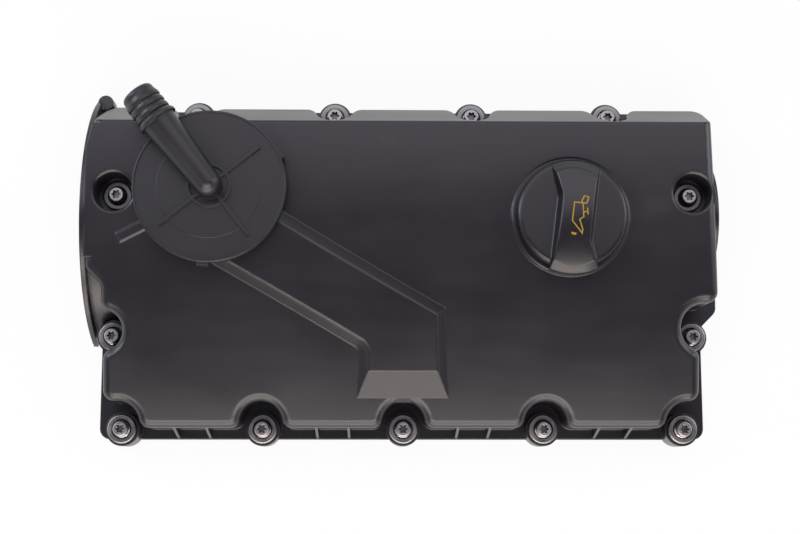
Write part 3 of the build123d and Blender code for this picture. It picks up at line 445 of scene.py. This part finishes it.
# ================================================================ breather valve
def coil_spring(material):
    """The valve's spring, wound between its low and high ends."""
    low = SPRING_LOW + SPRING_WIRE_R
    rise = SPRING_HIGH - SPRING_LOW - 2 * SPRING_WIRE_R
    count = int(SPRING_TURNS * SPRING_STEPS)
    lean = math.atan2(rise, SPRING_TURNS * 2 * math.pi * SPRING_R)
    verts, faces = [], []
    for i in range(count + 1):
        angle = 2 * math.pi * i / SPRING_STEPS
        out = Vector((math.cos(angle), math.sin(angle), 0))
        along = Vector((-math.sin(angle) * math.cos(lean), math.cos(angle) * math.cos(lean), math.sin(lean)))
        across = out.cross(along)
        centre = Vector((*SPRING_CENTRE, low + rise * i / count)) + out * SPRING_R
        for k in range(WIRE_SIDES):
            turn = 2 * math.pi * k / WIRE_SIDES
            verts.append(centre + SPRING_WIRE_R * (math.cos(turn) * out + math.sin(turn) * across))
        if i:
            start = WIRE_SIDES * i
            before = start - WIRE_SIDES
            for k in range(WIRE_SIDES):
                m = (k + 1) % WIRE_SIDES
                faces.append((before + k, before + m, start + m, start + k))
    faces.append(tuple(range(WIRE_SIDES)))
    faces.append(tuple(reversed(range(WIRE_SIDES * count, WIRE_SIDES * (count + 1)))))
    piece = new_piece("spring_coil", verts, faces, material, "cover")
    smooth(piece, 50)
    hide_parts("breather_spring")
    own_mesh(piece)


# ================================================================ cap pictogram
def on_bar(x, y):
    """A point of the bar's arched top, from cap coordinates."""
    arch_r = (CAP_R ** 2 + BAR_END_DROP ** 2) / (2 * BAR_END_DROP)
    z = BAR_TOP - arch_r + math.sqrt(arch_r ** 2 - y ** 2)
    return Vector((CAP_CENTRE[0] + x, CAP_CENTRE[1] + y, z))


def stepped(points, closed):
    """The same line with extra points, so that it can follow the arched top."""
    ends = points[1:] + points[:1] if closed else points[1:]
    line = []
    for (x1, y1), (x2, y2) in zip(points, ends):
        steps = max(1, round(math.dist((x1, y1), (x2, y2)) / MARK_STEP))
        line += [(x1 + (x2 - x1) * i / steps, y1 + (y2 - y1) * i / steps) for i in range(steps)]
    return line if closed else line + [points[-1]]


def stroke(points, closed, verts, faces):
    """A flat ribbon along a line of points on the bar's top."""
    points = stepped(points, closed)
    count = len(points)
    start = len(verts)
    for i, (x, y) in enumerate(points):
        before = points[(i - 1) % count] if closed or i else points[i]
        after = points[(i + 1) % count] if closed or i < count - 1 else points[i]
        along_in = Vector((x - before[0], y - before[1]))
        along_out = Vector((after[0] - x, after[1] - y))
        along_in = along_in.normalized() if along_in.length else along_out.normalized()
        along_out = along_out.normalized() if along_out.length else along_in
        mean = (along_in + along_out).normalized()
        reach = MARK_STROKE / 2 / max(MARK_MITRE_LIMIT, mean.dot(along_out))
        side = Vector((-mean.y, mean.x)) * reach
        for sign, rise in ((-1, 0.0), (-1, MARK_T), (1, MARK_T), (1, 0.0)):
            at = on_bar(x + sign * side.x, y + sign * side.y)
            verts.append((at.x, at.y, at.z + rise - MARK_SINK))
    for i in range(count if closed else count - 1):
        a, b = start + 4 * i, start + 4 * ((i + 1) % count)
        for k in range(4):
            m = (k + 1) % 4
            faces.append((a + k, b + k, b + m, a + m))
    if not closed:
        faces.append((start, start + 3, start + 2, start + 1))
        end = start + 4 * (count - 1)
        faces.append((end, end + 1, end + 2, end + 3))


def oil_can_lines():
    """(line, closed) of a plain oil can with spout and drop, u along the spout and v up, in mm."""
    can = [(-8.4, -2.2), (2.9, -3.7), (9.3, 1.3), (10.7, 2.2), (8.0, 2.5), (2.2, 0.7), (0.6, 3.2), (-7.9, 2.9)]
    handle = [(-7.9, 2.9), (-8.9, 2.2), (-12.3, 3.9), (-11.5, 6.6), (-7.7, 5.2), (-7.9, 2.9)]
    stem = [(-2.5, 3.3), (-2.5, 5.7)]
    cross = [(-5.0, 5.5), (-0.8, 5.9)]
    drop = [(10.1, -3.9), (10.6, -1.7), (11.2, -1.9), (10.7, -4.0)]
    return [(can, True), (handle, False), (stem, False), (cross, False), (drop, True)]


def oil_can_mark(material):
    """The printed oil can, turned a quarter so that it reads along the bar."""
    turn = math.radians(MARK_TURN_DEG)
    verts, faces = [], []
    for line, closed in oil_can_lines():
        points = []
        for u, v in line:
            x = MARK_CENTRE[0] + (u * math.cos(turn) - v * math.sin(turn)) * MM
            y = MARK_CENTRE[1] + (u * math.sin(turn) + v * math.cos(turn)) * MM
            points.append((x, y))
        stroke(points, closed, verts, faces)
    new_piece("oil_can_mark", verts, faces, material, "cap")


# ================================================================ stage
def camera():
    """The camera that takes the same view as the photograph."""
    data = bpy.data.cameras.new("camera")
    data.lens = CAMERA_LENS_MM
    data.sensor_width = CAMERA_SENSOR_MM
    data.clip_start = CAMERA_NEAR
    eye = bpy.data.objects.new("camera", data)
    eye.location = CAMERA_PLACE
    tilt = Euler((math.radians(CAMERA_TILT_DEG), 0, 0)).to_matrix()
    yaw = Euler((0, math.radians(CAMERA_YAW_DEG), 0)).to_matrix()
    roll = Euler((0, 0, math.radians(CAMERA_ROLL_DEG))).to_matrix()
    eye.rotation_euler = (tilt @ yaw @ roll).to_euler()
    bpy.context.scene.collection.objects.link(eye)
    bpy.context.scene.camera = eye


def soft_box(name, place, aim, size, energy, colour):
    """A rectangular area light that points at aim."""
    data = bpy.data.lights.new(name, "AREA")
    data.shape = "RECTANGLE"
    data.size, data.size_y = size
    data.energy = energy
    data.color = colour
    lamp = bpy.data.objects.new(name, data)
    lamp.location = place
    lamp.rotation_euler = (Vector(aim) - Vector(place)).to_track_quat("-Z", "Y").to_euler()
    bpy.context.scene.collection.objects.link(lamp)


def surroundings():
    """A pale room: bright walls low down and a dim ceiling."""
    world = bpy.data.worlds.new("surroundings")
    world.use_nodes = True
    tree = world.node_tree
    place = tree.nodes.new("ShaderNodeTexCoord")
    split = tree.nodes.new("ShaderNodeSeparateXYZ")
    tree.links.new(place.outputs["Generated"], split.inputs["Vector"])
    ramp = tree.nodes.new("ShaderNodeValToRGB")
    tree.links.new(split.outputs["Z"], ramp.inputs["Fac"])
    walls, ceiling = ramp.color_ramp.elements
    walls.position, walls.color = ROOM_WALL_TOP, (*ROOM_WALL, 1)
    ceiling.position, ceiling.color = ROOM_CEILING_EDGE, (*ROOM_CEILING, 1)
    tree.links.new(ramp.outputs["Color"], tree.nodes["Background"].inputs["Color"])
    return world


def studio():
    """White table, pale surroundings and soft boxes."""
    mesh = bpy.data.meshes.new("table")
    corners = [(-TABLE_REACH, -TABLE_REACH), (TABLE_REACH, -TABLE_REACH),
               (TABLE_REACH, TABLE_REACH), (-TABLE_REACH, TABLE_REACH)]
    mesh.from_pydata([(x, y, -TABLE_DROP) for x, y in corners], [], [(0, 1, 2, 3)])
    mesh.materials.append(table_paint("table_white"))
    table = bpy.data.objects.new("table", mesh)
    bpy.context.scene.collection.objects.link(table)

    bpy.context.scene.world = surroundings()
    for box in SOFT_BOXES:
        soft_box(*box)
    bpy.context.scene.view_settings.view_transform = "Standard"


# ================================================================ the scene
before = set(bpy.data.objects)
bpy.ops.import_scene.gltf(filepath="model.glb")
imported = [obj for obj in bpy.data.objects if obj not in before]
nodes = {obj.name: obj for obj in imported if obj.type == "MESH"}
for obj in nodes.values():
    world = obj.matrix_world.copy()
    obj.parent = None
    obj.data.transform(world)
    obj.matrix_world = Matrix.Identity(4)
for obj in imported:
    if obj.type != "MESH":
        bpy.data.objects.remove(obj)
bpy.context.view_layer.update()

shell_plastic = moulded_plastic(
    "moulded_nylon", SHELL_BLACK, rough=(0.27, 0.34), grain_mm=0.45, edge_mm=1.3, edge_wear_and_highlight=4.0)
lid_plastic = moulded_plastic(
    "lid_nylon", LID_BLACK, rough=(0.36, 0.44), grain_mm=0.4, grain_depth=0.4, edge_mm=0.4, edge_wear_and_highlight=3.0, flow=False)
# the cap's edges are painted far lighter, as a painted highlight on its rims
cap_plastic = moulded_plastic(
    "cap_nylon", CAP_BLACK, rough=(0.27, 0.34), grain_mm=0.35, grain_depth=0.4, edge_mm=1.5, edge_wear_and_highlight=9.0, flow=False)
baffle_plastic = moulded_plastic("baffle_nylon", BAFFLE_BLACK, rough=(0.45, 0.6), grain_mm=0.6)
plate_plastic = moulded_plastic("plate_acetal", PLATE_CREAM, rough=(0.3, 0.4), grain_mm=0.3, flow=False)
# painted shade darkens the bolts' sockets and the ring round their heads
bolt_steel = plated_metal("plated_bolt", BOLT_GREY, rough=(0.32, 0.42), edge_mm=0.35, recess_shade_mm=4.0)
# the flange cones get a lighter, glossier copy of the bolt metal, as a painted highlight
flange_highlight_steel = plated_metal("plated_flange", FLANGE_HIGHLIGHT_GREY, rough=(0.18, 0.28))
# painted shade darkens the cups that stand deep in the wells
cup_steel = plated_metal(
    "plated_cup", CUP_GREY, rough=(0.30, 0.42), scratch=(1.0, 0.3, 1.0), edge_mm=0.6, recess_shade_mm=12.0)
spring_steel = plated_metal("drawn_wire", SPRING_GREY, rough=(0.25, 0.35), scratch=(1.0, 1.0, 0.1))
seal_rubber = rubber("seal_rubber", SEAL_BLACK)
bush_rubber = rubber("bush_rubber", BUSH_BLACK, rough=(0.6, 0.8))
sheet_rubber = rubber("diaphragm_rubber", DIAPHRAGM_BLACK, rough=(0.5, 0.65), grain_mm=0.4)
yellow_ink = printed_ink("yellow_ink", INK_YELLOW)

finishes = {
    "cover_shell": shell_plastic,
    "cover_gasket": seal_rubber,
    "oil_baffle": baffle_plastic,
    "breather_lid": lid_plastic,
    "breather_diaphragm": sheet_rubber,
    "diaphragm_plate": plate_plastic,
    "breather_spring": spring_steel,
    "filler_cap": cap_plastic,
    "cap_seal": seal_rubber,
}
for row in ("front", "rear", "left_end", "right_end"):
    finishes[f"{row}_bolts"] = bolt_steel
    finishes[f"{row}_cup_sleeves"] = cup_steel
    finishes[f"{row}_grommets"] = bush_rubber
for node_name, finish in finishes.items():
    dress(nodes[node_name], finish)

bolt_threads(bolt_steel)
flange_cones(flange_highlight_steel)
coil_spring(spring_steel)
oil_can_mark(yellow_ink)
camera()
studio()
